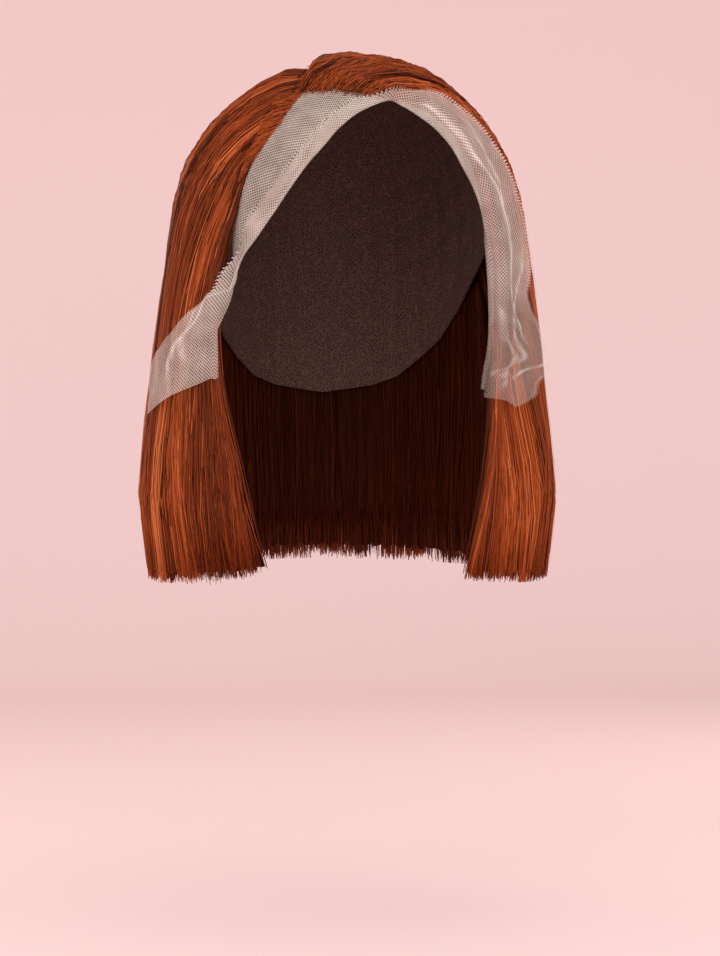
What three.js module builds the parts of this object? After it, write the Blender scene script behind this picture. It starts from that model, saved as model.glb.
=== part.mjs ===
// A straight bob wig with a side part and a lace front. Millimetres, +Z up, the face looks along -Y,
// the wearer's left is +X. The origin is the inside of the cap's crown, where the head stops.
import * as THREE from 'three';

// Foundation cap, measured on its outer skin
const capHalfWidth = 77;
const capFront = 86;
const capBack = 98;
const capDepth = 89.5;
const capWall = 1.4;

// Outer form of the hair
const hairHalfWidth = 114;
const hairFront = 104;
const hairBack = 114;
const hairHeight = 289;
const crownLift = 7.5;

// Hair walls: thickness at the roots, how far the surface takes to rise, and its share at the part
const rootThickness = 2;
const frontRollWidth = 27;
const partSlopeLeft = 16;
const partSlopeRight = 85;
const partDepth = 0.45;

// Locks: depth of a ridge, its least share, its turn from lock to lock, the share of the length
// over which ridges rise, and how far neighbouring tips end apart
const lockDepth = 2.6;
const leastRidge = 0.75;
const ridgeWave = 2.4;
const ridgeStart = 0.2;
const tipStagger = 2.4;
const tipWave = 2.6;

// Gaps: at the part, at the seams beside the back fall, beside the lace, and round the cap
const partGap = 0.8;
const seamGap = 0.8;
const seamAngle = 128;
const slipGap = 0.45;
const seatGap = 0.75;

// Lace
const laceWall = 1;
const laceTuckStart = 14;
const laceTuckEnd = 22;
const laceFoldGap = 0.6;
const laceOverHair = 2.1;
const laceClimb = 6;

// How finely the hair is divided
const leftColumns = 37;
const rightColumns = 27;
const backColumns = 29;
const napeColumns = 17;
const strandRows = 16;
const napeRows = 8;
const capColumns = 32;
const capRows = 9;
const laceStations = 52;

// Forms are drawn on a flattened disc: 0 is the crown, 1 the widest line round the head, 2 the hem.
// A section stands at every quarter. Columns: down, half width, front and back, as shares.
const hairCurtain = [
  { down: 0.35, width: 0.854, front: 0.942, back: 1.0 },
  { down: 0.512, width: 0.913, front: 0.971, back: 1.0 },
  { down: 0.675, width: 0.959, front: 1.0, back: 0.991 },
  { down: 0.834, width: 1.0, front: 1.0, back: 0.974 },
  { down: 1.0, width: 0.957, front: 0.933, back: 0.912 },
];
const hairDome = { down: 0.36, width: 0.848, front: 0.923, back: 0.991 };
const innerCurtain = [
  { down: 0.318, width: 1.0, front: 1.0, back: 1.0 },
  { down: 0.492, width: 0.987, front: 0.977, back: 0.959 },
  { down: 0.659, width: 0.987, front: 0.93, back: 0.918 },
  { down: 0.822, width: 0.961, front: 0.884, back: 0.878 },
  { down: 0.993, width: 0.909, front: 0.814, back: 0.837 },
];

// Where the hair ends in front, from the wearer's right hem over the forehead to the left hem.
// Columns: place down the disc, angle from the face, how far the edge stands off the head, and
// the name of a row that is called for below.
const frontEdge = [
  { down: 2.0, angle: -36, lift: 0.5 },
  { down: 1.92, angle: -38.6, lift: 0.53 },
  { down: 1.65, angle: -47.4, lift: 0.6 },
  { down: 1.45, angle: -53.4, lift: 0.73 },
  { down: 1.19, angle: -59, lift: 0.69 },
  { down: 1.07, angle: -59.4, lift: 0.45 },
  { down: 0.95, angle: -58.6, lift: 0.08 },
  { down: 0.81, angle: -55, lift: 0, name: 'right temple' },
  { down: 0.64, angle: -47, lift: 0 },
  { down: 0.45, angle: -41, lift: 0, name: 'part' },
  { down: 0.44, angle: -22, lift: 0 },
  { down: 0.46, angle: -4, lift: 0 },
  { down: 0.485, angle: 12, lift: 0 },
  { down: 0.52, angle: 28, lift: 0 },
  { down: 0.62, angle: 44, lift: 0 },
  { down: 0.81, angle: 55, lift: 0, name: 'left temple' },
  { down: 0.95, angle: 58.6, lift: 0.08 },
  { down: 1.07, angle: 59.4, lift: 0.3 },
  { down: 1.19, angle: 58.6, lift: 0.38 },
  { down: 1.45, angle: 53, lift: 0.42 },
  { down: 1.65, angle: 47, lift: 0.48 },
  { down: 1.92, angle: 39, lift: 0.5 },
  { down: 2.0, angle: 36, lift: 0.5 },
];
const edgeRow = (name) => frontEdge.findIndex((r) => r.name === name);
const partCorner = edgeRow('part');
const rightTemple = edgeRow('right temple');
const leftTemple = edgeRow('left temple');
const crownWhorl = [-0.085, 0.18];

// The side falls meet the back fall at the seam, with half the seam's gap on either side of it.
const seamTurn = THREE.MathUtils.radToDeg(seamGap / 2 / hairHalfWidth);
const seamFore = seamAngle - seamTurn;
const seamAft = seamAngle + seamTurn;

// How the hair falls. Columns: share along the root line, heading and reach of the strand as it
// leaves its root, where it is drawn over the side of the head, and where it ends.
const rightFall = [
  { root: 0, heading: -148, reach: 0.3, rim: 1.2, over: -seamFore, end: -seamFore, hem: 1.97 },
  { root: 0.35, heading: -112, reach: 0.3, rim: 1.2, over: -106, end: -106, hem: 1.99 },
  { root: 0.59, heading: -108, reach: 0.3, rim: 1.2, over: -88, end: -86, hem: 2.0 },
  { root: 0.8, heading: -108, reach: 0.3, rim: 1.25, over: -74, end: -67, hem: 2.0 },
  { root: 0.92, heading: -100, reach: 0.36, rim: 1.4, over: -62, end: -50, hem: 2.0 },
  { root: 1, heading: -88, reach: 0.42, rim: 1.517, over: -55.5, end: -37, hem: 1.98 },
];
const leftFall = [
  { root: 0, heading: 148, reach: 0.3, rim: 1.2, over: seamFore, end: seamFore, hem: 1.97 },
  { root: 0.18, heading: 122, reach: 0.32, rim: 1.2, over: 113, end: 113, hem: 1.98 },
  { root: 0.36, heading: 124, reach: 0.36, rim: 1.2, over: 99, end: 99, hem: 1.99 },
  { root: 0.5, heading: 138, reach: 0.36, rim: 1.2, over: 87, end: 86, hem: 2.0 },
  { root: 0.64, heading: 132, reach: 0.32, rim: 1.2, over: 77, end: 72, hem: 2.0 },
  { root: 0.78, heading: 120, reach: 0.3, rim: 1.24, over: 69, end: 60, hem: 2.0 },
  { root: 0.9, heading: 106, reach: 0.34, rim: 1.38, over: 62, end: 48, hem: 2.0 },
  { root: 1, heading: 88, reach: 0.42, rim: 1.517, over: 56, end: 36.5, hem: 2.0 },
];
const backFall = [
  { root: 0, heading: 152, reach: 0.3, rim: 1.2, over: seamAft, end: seamAft, hem: 1.97 },
  { root: 0.5, heading: 180, reach: 0.3, rim: 1.2, over: 180, end: 180, hem: 1.955 },
  { root: 1, heading: 208, reach: 0.3, rim: 1.2, over: 360 - seamAft, end: 360 - seamAft, hem: 1.97 },
];
const backStart = 0.05;

// How far the inside of the hair stands off the head below its widest line, at each quarter.
const curtainInside = [0, 0, 0, 0, 0, 0.42, 0.53, 0.6, 0.72];
const leastWall = 0.22;

// Nape layer
const napeTop = 1.14;
const napeHem = 1.86;
const napeSide = 102;

// Edge of the cap from the face round to the nape. Columns: angle, place down the disc.
const capEdge = [
  { angle: 0, down: 0.42 },
  { angle: 30, down: 0.42 },
  { angle: 45, down: 0.53 },
  { angle: 56, down: 0.76 },
  { angle: 66, down: 0.93 },
  { angle: 80, down: 1.03 },
  { angle: 100, down: 1.12 },
  { angle: 125, down: 1.3 },
  { angle: 150, down: 1.42 },
  { angle: 180, down: 1.45 },
];

// The lace, from its loose end at the wearer's right ear over the forehead to the left one.
// Each row is a place and angle for the root, the fold at the face and the cut edge, with the
// share of the hair's depth that root and fold stand off the head.
const laceSections = [
  { root: [1.42, -52.6, 0.72], fold: [1.43, -52.2, 0.74], cut: [1.525, -80] },
  { root: [1.37, -53.2, 0.72], fold: [1.38, -52.8, 0.74], cut: [1.46, -81.5] },
  { root: [1.33, -54.2, 0.7], fold: [1.34, -53.8, 0.73], cut: [1.41, -82.5] },
  { root: [1.29, -55.2, 0.66], fold: [1.3, -54.8, 0.7], cut: [1.36, -80] },
  { root: [1.265, -55.8, 0.54], fold: [1.275, -55.4, 0.62], cut: [1.335, -75.5] },
  { root: [1.235, -56.2, 0.4], fold: [1.24, -55.6, 0.51], cut: [1.295, -69] },
  { root: [1.195, -56.4, 0.28], fold: [1.205, -55.4, 0.41], cut: [1.25, -65] },
  { root: [1.145, -58.4, 0.16], fold: [1.16, -54.6, 0.3], cut: [1.205, -58.6] },
  { root: [1.065, -61, 0.06], fold: [1.105, -52.3, 0.18], cut: [1.13, -57.5] },
  { root: [0.95, -61.5, 0], fold: [1.05, -46.4, 0.05], cut: [1.02, -53.5] },
  { root: [0.8, -59, 0], fold: [0.985, -39.8, 0], cut: [0.945, -45.5] },
  { root: [0.65, -54, 0], fold: [0.905, -33.4, 0], cut: [0.865, -39] },
  { root: [0.48, -50, 0], fold: [0.815, -26.9, 0], cut: [0.77, -32] },
  { root: [0.415, -43, 0], fold: [0.735, -20.4, 0], cut: [0.68, -25.5] },
  { root: [0.37, -36, 0], fold: [0.66, -14.4, 0], cut: [0.6, -18.8] },
  { root: [0.37, -11, 0], fold: [0.58, -4.6, 0], cut: [0.52, -7.2] },
  { root: [0.39, 10, 0], fold: [0.515, 10.9, 0], cut: [0.497, 11.3] },
  { root: [0.41, 19, 0], fold: [0.54, 18.1, 0], cut: [0.5, 23.4] },
  { root: [0.46, 31, 0], fold: [0.585, 25.4, 0], cut: [0.493, 36.6] },
  { root: [0.52, 43, 0], fold: [0.645, 33.4, 0], cut: [0.546, 46.8] },
  { root: [0.58, 51, 0], fold: [0.72, 39.9, 0], cut: [0.606, 54.7] },
  { root: [0.675, 55.7, 0], fold: [0.805, 44.3, 0], cut: [0.69, 60] },
  { root: [0.79, 59.5, 0], fold: [0.895, 51, 0], cut: [0.78, 65] },
  { root: [0.885, 61.3, 0], fold: [0.96, 54.5, 0.03], cut: [0.87, 67.5] },
  { root: [0.96, 60.2, 0.01], fold: [1.02, 55.2, 0.09], cut: [0.96, 69.9] },
  { root: [1.035, 57, 0.04], fold: [1.075, 55, 0.19], cut: [1.05, 69.8] },
  { root: [1.12, 55.6, 0.14], fold: [1.135, 54.2, 0.28], cut: [1.115, 69] },
  { root: [1.175, 54.7, 0.2], fold: [1.185, 53.2, 0.32], cut: [1.18, 66.6] },
  { root: [1.22, 53.6, 0.24], fold: [1.23, 52.3, 0.34], cut: [1.223, 66.6] },
  { root: [1.265, 52, 0.28], fold: [1.275, 50.9, 0.36], cut: [1.27, 67.9] },
  { root: [1.31, 50, 0.32], fold: [1.32, 48.8, 0.37], cut: [1.32, 70.4] },
  { root: [1.355, 48, 0.33], fold: [1.365, 47.2, 0.36], cut: [1.365, 78] },
  { root: [1.39, 46.2, 0.33], fold: [1.4, 45.2, 0.36], cut: [1.42, 65] },
  { root: [1.42, 45, 0.33], fold: [1.43, 44, 0.36], cut: [1.475, 61] },
  { root: [1.45, 44, 0.33], fold: [1.46, 43.2, 0.35], cut: [1.51, 55] },
];
// Where the lace has its points, as shares of the way from root to fold and from fold to cut edge
const laceUnder = [0, 0.35, 0.7, 0.94];
const laceOver = [0.06, 0.2, 0.34, 0.48, 0.62, 0.8, 1];

const radians = THREE.MathUtils.degToRad;
const quarter = 0.25;

// Smooth curve through evenly spaced rows of numbers.
function alongRows(rows, place) {
  const last = rows.length - 1;
  const at = Math.min(Math.max(place, 0), last - 1e-9);
  const k = Math.floor(at);
  const t = at - k;
  const here = rows[k];
  const next = rows[k + 1];
  return here.map((p1, c) => {
    const p2 = next[c];
    const p0 = k > 0 ? rows[k - 1][c] : 2 * p1 - p2;
    const p3 = k + 2 <= last ? rows[k + 2][c] : 2 * p2 - p1;
    const bend = 2 * p0 - 5 * p1 + 4 * p2 - p3;
    const twist = 3 * p1 - p0 - 3 * p2 + p3;
    return 0.5 * (2 * p1 + (p2 - p0) * t + bend * t * t + twist * t * t * t);
  });
}

function smooth(x) {
  const t = Math.min(Math.max(x, 0), 1);
  return t * t * (3 - 2 * t);
}

function mix(a, b, t) {
  return a.map((value, c) => value + (b[c] - value) * t);
}

function disc(down, angle) {
  return [down * Math.sin(radians(angle)), -down * Math.cos(radians(angle))];
}

// Rows of a form: a quarter round dome above the widest line, then the curtain below it.
// The row before the crown mirrors the one after it, so that the crown is round.
function formRows(top, size, domeShare, curtain) {
  const dome = [0, 1, 2, 3].map((k) => {
    const turn = (k * quarter * Math.PI) / 2;
    return [
      top - size.height * domeShare.down * (1 - Math.cos(turn)),
      size.width * domeShare.width * Math.sin(turn),
      size.front * domeShare.front * Math.sin(turn),
      size.back * domeShare.back * Math.sin(turn),
    ];
  });
  const fall = curtain.map((r) => [
    top - size.height * r.down, size.width * r.width, size.front * r.front, size.back * r.back,
  ]);
  const [down, width, front, back] = dome[1];
  return [[down, -width, -front, -back], ...dome, ...fall];
}

const skinTop = capWall + seatGap / 2;
const hairSize = { width: hairHalfWidth, front: hairFront, back: hairBack, height: hairHeight };
const innerSize = {
  width: capHalfWidth, front: capFront, back: capBack, height: hairHeight - crownLift,
};
const outerRows = formRows(skinTop + crownLift, hairSize, hairDome, hairCurtain);
const innerDome = { down: capDepth / innerSize.height, width: 1, front: 1, back: 1 };
const innerRows = formRows(skinTop, innerSize, innerDome, innerCurtain);

function onForm(rows, q) {
  const [down, width, front, back] = alongRows(rows, Math.hypot(q[0], q[1]) / quarter + 1);
  const angle = Math.atan2(q[0], -q[1]);
  const reach = Math.cos(angle) > 0 ? front : back;
  return new THREE.Vector3(width * Math.sin(angle), -reach * Math.cos(angle), down);
}

// The way straight out of the outer form, from its slopes across and along the disc.
const step = 1e-3;
const headMiddle = new THREE.Vector3(0, 0, -0.7 * capDepth);
function outward(q) {
  const across = onForm(outerRows, [q[0] + step, q[1]]).sub(onForm(outerRows, [q[0] - step, q[1]]));
  const along = onForm(outerRows, [q[0], q[1] + step]).sub(onForm(outerRows, [q[0], q[1] - step]));
  const normal = across.cross(along).normalize();
  const away = onForm(outerRows, q).sub(headMiddle);
  return normal.dot(away) < 0 ? normal.negate() : normal;
}

const frontDisc = frontEdge.map((r) => disc(r.down, r.angle));
const frontLine = frontDisc.map((q) => onForm(outerRows, q));
const partEnds = [frontDisc[partCorner], crownWhorl];
const partRuns = 8;
const partLine = Array.from({ length: partRuns + 1 }, (_, k) =>
  onForm(outerRows, mix(partEnds[0], partEnds[1], k / partRuns)));

// Nearest distance to a line of points, and how far along the line that is.
function nearest(point, line) {
  let best = { distance: Infinity, place: 0 };
  for (let k = 0; k < line.length - 1; k += 1) {
    const run = line[k + 1].clone().sub(line[k]);
    const t = Math.min(Math.max(point.clone().sub(line[k]).dot(run) / run.lengthSq(), 0), 1);
    const distance = point.distanceTo(line[k].clone().addScaledVector(run, t));
    if (distance < best.distance) best = { distance, place: k + t };
  }
  return best;
}

// True where hair grows: outside the opening for the face, which closes below the hem.
const belowHem = [[1.3, -2.6], [-1.3, -2.6]];
const faceOutline = [...frontDisc, ...belowHem];
function hasHair(q) {
  let crossings = 0;
  faceOutline.forEach((a, k) => {
    const b = faceOutline[(k + 1) % faceOutline.length];
    const spans = (a[1] > q[1]) !== (b[1] > q[1]);
    if (spans && q[0] < ((b[0] - a[0]) * (q[1] - a[1])) / (b[1] - a[1]) + a[0]) crossings += 1;
  });
  return crossings % 2 === 0;
}

// How far the hair's surface stands between the head and the outer form at a place on the disc.
function hairDepth(q) {
  const point = onForm(outerRows, q);
  const front = nearest(point, frontLine);
  const k = Math.min(Math.floor(front.place), frontEdge.length - 2);
  const edge = frontEdge[k].lift + (frontEdge[k + 1].lift - frontEdge[k].lift) * (front.place - k);
  const grown = hasHair(q);
  if (!grown) return { lift: edge, distance: front.distance, grown };
  const [a, b] = partEnds;
  const onLeft = (q[0] - a[0]) * (b[1] - a[1]) - (q[1] - a[1]) * (b[0] - a[0]) > 0;
  const slope = onLeft ? partSlopeLeft : partSlopeRight;
  const partDip = partDepth + (1 - partDepth) * smooth(nearest(point, partLine).distance / slope);
  const roll = edge + (1 - edge) * smooth(front.distance / frontRollWidth);
  return { lift: roll * partDip, distance: front.distance, grown };
}

const laceRoom = 2 * slipGap + laceWall;
function between(q, lift, proud) {
  const point = onForm(innerRows, q).lerp(onForm(outerRows, q), lift);
  return point.addScaledVector(outward(q), proud);
}

function hairOutside(q, proud) {
  const { lift } = hairDepth(q);
  return between(q, lift, (rootThickness + laceRoom) * (1 - lift) + proud);
}

function hairInside(q) {
  const { lift, distance } = hairDepth(q);
  const tuck = smooth((laceTuckEnd - distance) / (laceTuckEnd - laceTuckStart));
  const gap = seatGap / 2 + (laceRoom - seatGap / 2) * tuck;
  const down = Math.hypot(q[0], q[1]) / quarter;
  const [open] = alongRows(curtainInside.map((value) => [value]), down);
  return between(q, Math.max(0, Math.min(open, lift - leastWall)), gap);
}

// One strand of the fall: a curve on the disc from its root line to the hem.
function strand(fall, rootLine, share, t) {
  const rows = fall.map((r) => [r.heading, r.reach, r.rim, r.over, r.end, r.hem]);
  const last = fall.findIndex((r) => r.root >= share - 1e-9);
  const k = Math.max(last, 1);
  const local = k - 1 + (share - fall[k - 1].root) / (fall[k].root - fall[k - 1].root);
  const [heading, reach, rim, over, end, hem] = alongRows(rows, local);
  const root = alongLine(rootLine, share);
  const leave = disc(reach, heading);
  const p1 = [root[0] + leave[0], root[1] + leave[1]];
  const p2 = disc(rim, over);
  const p3 = disc(hem, end);
  const s = 1 - t;
  return root.map((p0, c) =>
    s * s * s * p0 + 3 * s * s * t * p1[c] + 3 * s * t * t * p2[c] + t * t * t * p3[c]);
}

function alongLine(line, share) {
  if (line.length === 1) return line[0];
  const runs = line.slice(1).map((p, k) => Math.hypot(p[0] - line[k][0], p[1] - line[k][1]));
  const total = runs.reduce((sum, run) => sum + run, 0);
  let left = share * total;
  const k = runs.findIndex((run, i) => {
    if (left <= run + 1e-9 || i === runs.length - 1) return true;
    left -= run;
    return false;
  });
  return mix(line[k], line[k + 1], left / runs[k]);
}

// A closed wall from two grids of points, the outer one first.
function wall(outer, inner) {
  const columns = outer.length;
  const rows = outer[0].length;
  const points = [...outer.flat(), ...inner.flat()];
  const index = [];
  const outerAt = (i, j) => i * rows + j;
  const innerAt = (i, j) => columns * rows + i * rows + j;
  const quad = (a, b, c, d) => index.push(a, b, c, a, c, d);
  for (let i = 0; i < columns - 1; i += 1) {
    for (let j = 0; j < rows - 1; j += 1) {
      quad(outerAt(i, j), outerAt(i, j + 1), outerAt(i + 1, j + 1), outerAt(i + 1, j));
      quad(innerAt(i, j), innerAt(i + 1, j), innerAt(i + 1, j + 1), innerAt(i, j + 1));
    }
    quad(outerAt(i, 0), outerAt(i + 1, 0), innerAt(i + 1, 0), innerAt(i, 0));
    const end = rows - 1;
    quad(outerAt(i, end), innerAt(i, end), innerAt(i + 1, end), outerAt(i + 1, end));
  }
  for (let j = 0; j < rows - 1; j += 1) {
    const far = columns - 1;
    quad(outerAt(0, j), innerAt(0, j), innerAt(0, j + 1), outerAt(0, j + 1));
    quad(outerAt(far, j), outerAt(far, j + 1), innerAt(far, j + 1), innerAt(far, j));
  }
  return solid(points, index);
}

// Turns points and triangles into a body whose faces point out.
function solid(points, index) {
  let volume = 0;
  const cross = new THREE.Vector3();
  for (let k = 0; k < index.length; k += 3) {
    const [a, b, c] = [points[index[k]], points[index[k + 1]], points[index[k + 2]]];
    volume += a.dot(cross.copy(b).cross(c));
  }
  const faces = volume < 0 ? index.slice().reverse() : index;
  const geometry = new THREE.BufferGeometry();
  const positions = points.flatMap((p) => p.toArray());
  geometry.setAttribute('position', new THREE.Float32BufferAttribute(positions, 3));
  geometry.setIndex(faces);
  geometry.computeVertexNormals();
  return geometry;
}

// Ridge of a lock at a column, every second column a furrow, with some locks fuller than others.
function ridge(column) {
  const fuller = leastRidge + (1 - leastRidge) * Math.sin(column * ridgeWave);
  return (column % 2 === 0 ? 0.5 : -0.5) * lockDepth * fuller;
}

function hairWall(fall, rootLine, columns, start) {
  const stagger = tipStagger / hairHeight;
  const outer = [];
  const inner = [];
  for (let i = 0; i < columns; i += 1) {
    const share = i / (columns - 1);
    const outerColumn = [];
    const innerColumn = [];
    for (let j = 0; j < strandRows; j += 1) {
      const t = start + (1 - start) * (j / (strandRows - 1));
      const q = strand(fall, rootLine, share, t);
      const tip = j === strandRows - 1 ? 1 + stagger * Math.sin(i * tipWave) : 1;
      const place = q.map((value) => value * tip);
      const fade = smooth(j / (strandRows - 1) / ridgeStart);
      outerColumn.push(hairOutside(place, ridge(i) * fade));
      innerColumn.push(hairInside(place));
    }
    outer.push(outerColumn);
    inner.push(innerColumn);
  }
  return wall(outer, inner);
}

// The root line of one side, kept half the part's gap clear of the part.
function rootLine(side, frontShare) {
  const shift = (side * partGap) / 2 / (hairHalfWidth * hairDome.width);
  const beside = (q) => [q[0] + shift, q[1]];
  return [beside(crownWhorl), beside(frontDisc[partCorner]), ...frontShare];
}

function hairLeft() {
  const forehead = frontDisc.slice(partCorner + 1, leftTemple + 1);
  return hairWall(leftFall, rootLine(1, forehead), leftColumns, 0);
}

function hairRight() {
  const temple = frontDisc.slice(rightTemple, partCorner).reverse();
  return hairWall(rightFall, rootLine(-1, temple), rightColumns, 0);
}

function hairBackFall() {
  return hairWall(backFall, [crownWhorl], backColumns, backStart);
}

// The under layer hangs between the cap's back edge and the hair that covers it.
function hairNape() {
  const outer = [];
  const inner = [];
  for (let i = 0; i < napeColumns; i += 1) {
    const share = i / (napeColumns - 1);
    const angle = napeSide + (360 - 2 * napeSide) * share;
    const outerColumn = [];
    const innerColumn = [];
    for (let j = 0; j < napeRows; j += 1) {
      const q = disc(napeTop + ((napeHem - napeTop) * j) / (napeRows - 1), angle);
      const [open] = alongRows(curtainInside.map((value) => [value]), Math.hypot(q[0], q[1]) / quarter);
      const furrow = i % 2 === 0 ? 0 : lockDepth / 2;
      outerColumn.push(between(q, open, -slipGap - rootThickness / 2));
      innerColumn.push(between(q, 0, seatGap / 2 + furrow * (j / napeRows)));
    }
    outer.push(outerColumn);
    inner.push(innerColumn);
  }
  return wall(outer, inner);
}

function capEdgeDown(angle) {
  const turn = Math.abs(angle > 180 ? 360 - angle : angle);
  const k = Math.max(capEdge.findIndex((r) => r.angle >= turn - 1e-9), 1);
  const share = (turn - capEdge[k - 1].angle) / (capEdge[k].angle - capEdge[k - 1].angle);
  return capEdge[k - 1].down + (capEdge[k].down - capEdge[k - 1].down) * share;
}

// The cap is a thin dome with one pole on each skin, joined round its edge.
function wigCap() {
  const skin = -seatGap / 2;
  const points = [between([0, 0], 0, skin), between([0, 0], 0, skin - capWall)];
  const index = [];
  const at = (ring, i, side) => 2 + ((ring - 1) * capColumns + (i % capColumns)) * 2 + side;
  for (let ring = 1; ring <= capRows; ring += 1) {
    for (let i = 0; i < capColumns; i += 1) {
      const angle = (360 * i) / capColumns;
      const q = disc((capEdgeDown(angle) * ring) / capRows, angle);
      points.push(between(q, 0, skin), between(q, 0, skin - capWall));
    }
  }
  for (let i = 0; i < capColumns; i += 1) {
    index.push(0, at(1, i, 0), at(1, i + 1, 0), 1, at(1, i + 1, 1), at(1, i, 1));
    for (let ring = 1; ring < capRows; ring += 1) {
      const [a, b] = [at(ring, i, 0), at(ring + 1, i, 0)];
      const [c, d] = [at(ring + 1, i + 1, 0), at(ring, i + 1, 0)];
      index.push(a, b, c, a, c, d);
      index.push(a + 1, c + 1, b + 1, a + 1, d + 1, c + 1);
    }
    const [a, d] = [at(capRows, i, 0), at(capRows, i + 1, 0)];
    index.push(a, a + 1, d + 1, a, d + 1, d);
  }
  return solid(points, index);
}

// Height of the lace's upper layer: over the hair where there is hair, on the under layer elsewhere.
function laceHeight(q, rest) {
  const { lift, distance, grown } = hairDepth(q);
  const climb = grown ? 1 : smooth(1 - distance / laceClimb);
  const overHair = (rootThickness + laceRoom) * (1 - lift) + lockDepth / 2 + laceOverHair + laceWall / 2;
  const flat = slipGap + 1.5 * laceWall + laceFoldGap;
  return { lift: Math.max(rest, lift * climb), proud: flat + (overHair - flat) * climb };
}

// One section across the lace: the under layer, the fold, and the layer that is turned back.
// Place and angle each run evenly from end to end, so that a level edge stays level.
function laceSection(place) {
  const rows = laceSections.map((r) => [...r.root, ...r.fold, ...r.cut]);
  const [rootDown, rootTurn, rootLift, foldDown, foldTurn, foldLift, cutDown, cutTurn] =
    alongRows(rows, place);
  const underProud = (slipGap + laceWall) / 2;
  const under = laceUnder.map((t) => {
    const q = disc(...mix([rootDown, rootTurn], [foldDown, foldTurn], t));
    return { at: between(q, rootLift + (foldLift - rootLift) * t * t, underProud), side: outward(q) };
  });
  const over = laceOver.map((t) => {
    const q = disc(...mix([foldDown, foldTurn], [cutDown, cutTurn], t));
    const { lift, proud } = laceHeight(q, foldLift * (1 - t));
    return { at: between(q, lift, proud), side: outward(q).negate() };
  });
  const forward = under[under.length - 1].at.clone().sub(under[under.length - 2].at).normalize();
  const middle = under[under.length - 1].at.clone().lerp(over[0].at, 0.5);
  const fold = { at: middle.addScaledVector(forward, laceWall), side: forward.clone().negate() };
  return [...under, fold, ...over];
}

function laceFront() {
  const outer = [];
  const inner = [];
  for (let i = 0; i < laceStations; i += 1) {
    const section = laceSection(((laceSections.length - 1) * i) / (laceStations - 1));
    outer.push(section.map((p) => p.at.clone().addScaledVector(p.side, laceWall / 2)));
    inner.push(section.map((p) => p.at.clone().addScaledVector(p.side, -laceWall / 2)));
  }
  return wall(outer, inner);
}

function piece(name, geometry, color, roughness) {
  const material = new THREE.MeshStandardMaterial({ color, roughness, metalness: 0 });
  const mesh = new THREE.Mesh(geometry, material);
  mesh.name = name;
  return mesh;
}

const wig = new THREE.Group();
wig.add(piece('wig_cap', wigCap(), 0x5a2a16, 0.9));
wig.add(piece('lace_front', laceFront(), 0xe6cfc0, 0.8));
wig.add(piece('hair_left', hairLeft(), 0xa84e1e, 0.45));
wig.add(piece('hair_right', hairRight(), 0xa84e1e, 0.45));
wig.add(piece('hair_back', hairBackFall(), 0xa04a1c, 0.45));
wig.add(piece('hair_nape', hairNape(), 0x7a3212, 0.5));

export default wig;
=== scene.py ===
import math
import bpy
import numpy as np
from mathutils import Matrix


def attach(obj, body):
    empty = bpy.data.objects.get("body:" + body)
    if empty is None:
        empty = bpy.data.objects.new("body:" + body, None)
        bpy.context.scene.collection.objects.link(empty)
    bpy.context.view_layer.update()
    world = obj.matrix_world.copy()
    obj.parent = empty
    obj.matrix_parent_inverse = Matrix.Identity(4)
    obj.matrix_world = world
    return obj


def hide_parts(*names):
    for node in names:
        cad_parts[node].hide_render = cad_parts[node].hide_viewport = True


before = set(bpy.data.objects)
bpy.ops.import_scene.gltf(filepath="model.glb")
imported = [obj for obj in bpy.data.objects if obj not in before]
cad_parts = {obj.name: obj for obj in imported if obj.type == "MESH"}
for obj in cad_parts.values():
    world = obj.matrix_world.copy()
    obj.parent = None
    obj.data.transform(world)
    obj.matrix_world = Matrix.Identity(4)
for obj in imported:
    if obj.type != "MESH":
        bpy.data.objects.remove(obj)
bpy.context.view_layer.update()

mm = 0.001


# Camera at the photograph's view

view = dict(
    focal=2700.0,  # pixels of the 720 x 956 frame
    frame=(720, 956),
    scale=0.55,  # mm for each pixel at the wig's upright axis
    azimuth=-10.0,  # the camera stands to the wearer's right of the face
    axisColumn=348.0,  # where the upright axis is in the frame
    crownRow=70.0, floorRow=920.0,  # rows of the origin and of the floor on that axis
    sensor=36.0, clip=(0.05, 30.0),  # mm, and m
)


def linkObject(name, data):
    thing = bpy.data.objects.new(name, data)
    bpy.context.scene.collection.objects.link(thing)
    return thing


def placeCamera():
    turn = math.radians(view["azimuth"])
    back = np.array([math.sin(turn), -math.cos(turn), 0.0])
    right = np.array([math.cos(turn), math.sin(turn), 0.0])
    wide, high = view["frame"]
    distance = view["focal"] * view["scale"]
    place = back * distance + right * (wide / 2 - view["axisColumn"]) * view["scale"]
    place[2] = -(high / 2 - view["crownRow"]) * view["scale"]
    data = bpy.data.cameras.new("photoCamera")
    data.sensor_width = view["sensor"]
    data.lens = view["focal"] * view["sensor"] / high  # the sensor's width spans the longer side
    data.clip_start, data.clip_end = view["clip"]
    camera = linkObject("photoCamera", data)
    camera.location = place * mm
    camera.rotation_euler = (math.radians(90.0), 0.0, turn)
    bpy.context.scene.camera = camera


placeCamera()
print("camera placed")


# Material helpers

def newMaterial(name):
    material = bpy.data.materials.new(name)
    material.use_nodes = True
    tree = material.node_tree
    return material, tree, tree.nodes["Principled BSDF"]


def node(tree, kind, **settings):
    made = tree.nodes.new(kind)
    for key, value in settings.items():
        setattr(made, key, value)
    return made


def link(tree, source, target):
    tree.links.new(source, target)


def mathNode(tree, operation, first, second=None):
    made = node(tree, "ShaderNodeMath", operation=operation)
    for socket, value in zip(made.inputs, (first, second)):
        if isinstance(value, (int, float)):
            socket.default_value = value
        elif value is not None:
            link(tree, value, socket)
    return made.outputs[0]


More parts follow.
